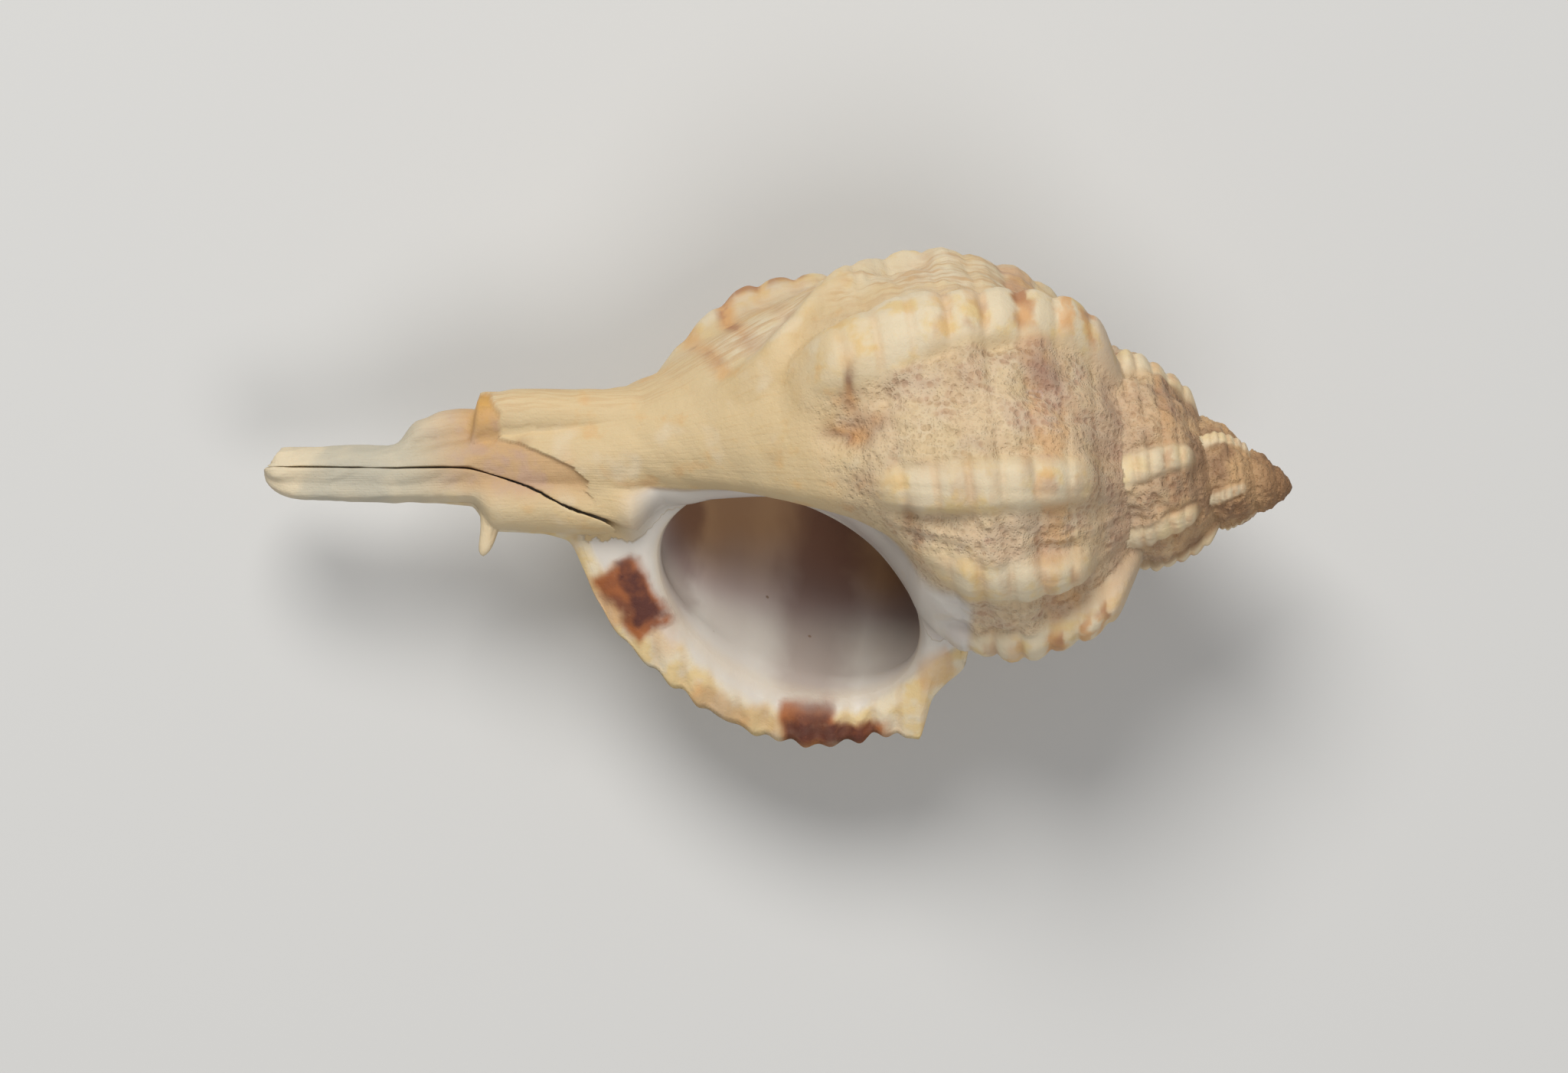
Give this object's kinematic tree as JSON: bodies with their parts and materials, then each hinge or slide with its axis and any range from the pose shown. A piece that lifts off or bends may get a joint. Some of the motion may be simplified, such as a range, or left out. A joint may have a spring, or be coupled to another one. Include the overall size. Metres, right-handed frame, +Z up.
{
  "type": "murex shell",
  "caption": "Spiral sea shell with a knobbed spire, varices, a wide oval mouth with a flared lip, and a long narrow canal, lying mouth up.",
  "frame": {"origin": "on the surface the shell lies on, under the middle of its box", "axes": "+X from the canal's tip to the apex, +Y away from the outer lip, +Z up, out of the mouth"},
  "size_m": [0.0616, 0.03, 0.0263],
  "materials": {
    "shell": "satin, chalky outside and smooth inside the mouth"
  },
  "bodies": {
    "root": {"shell": "shell"}
  },
  "joints": []
}
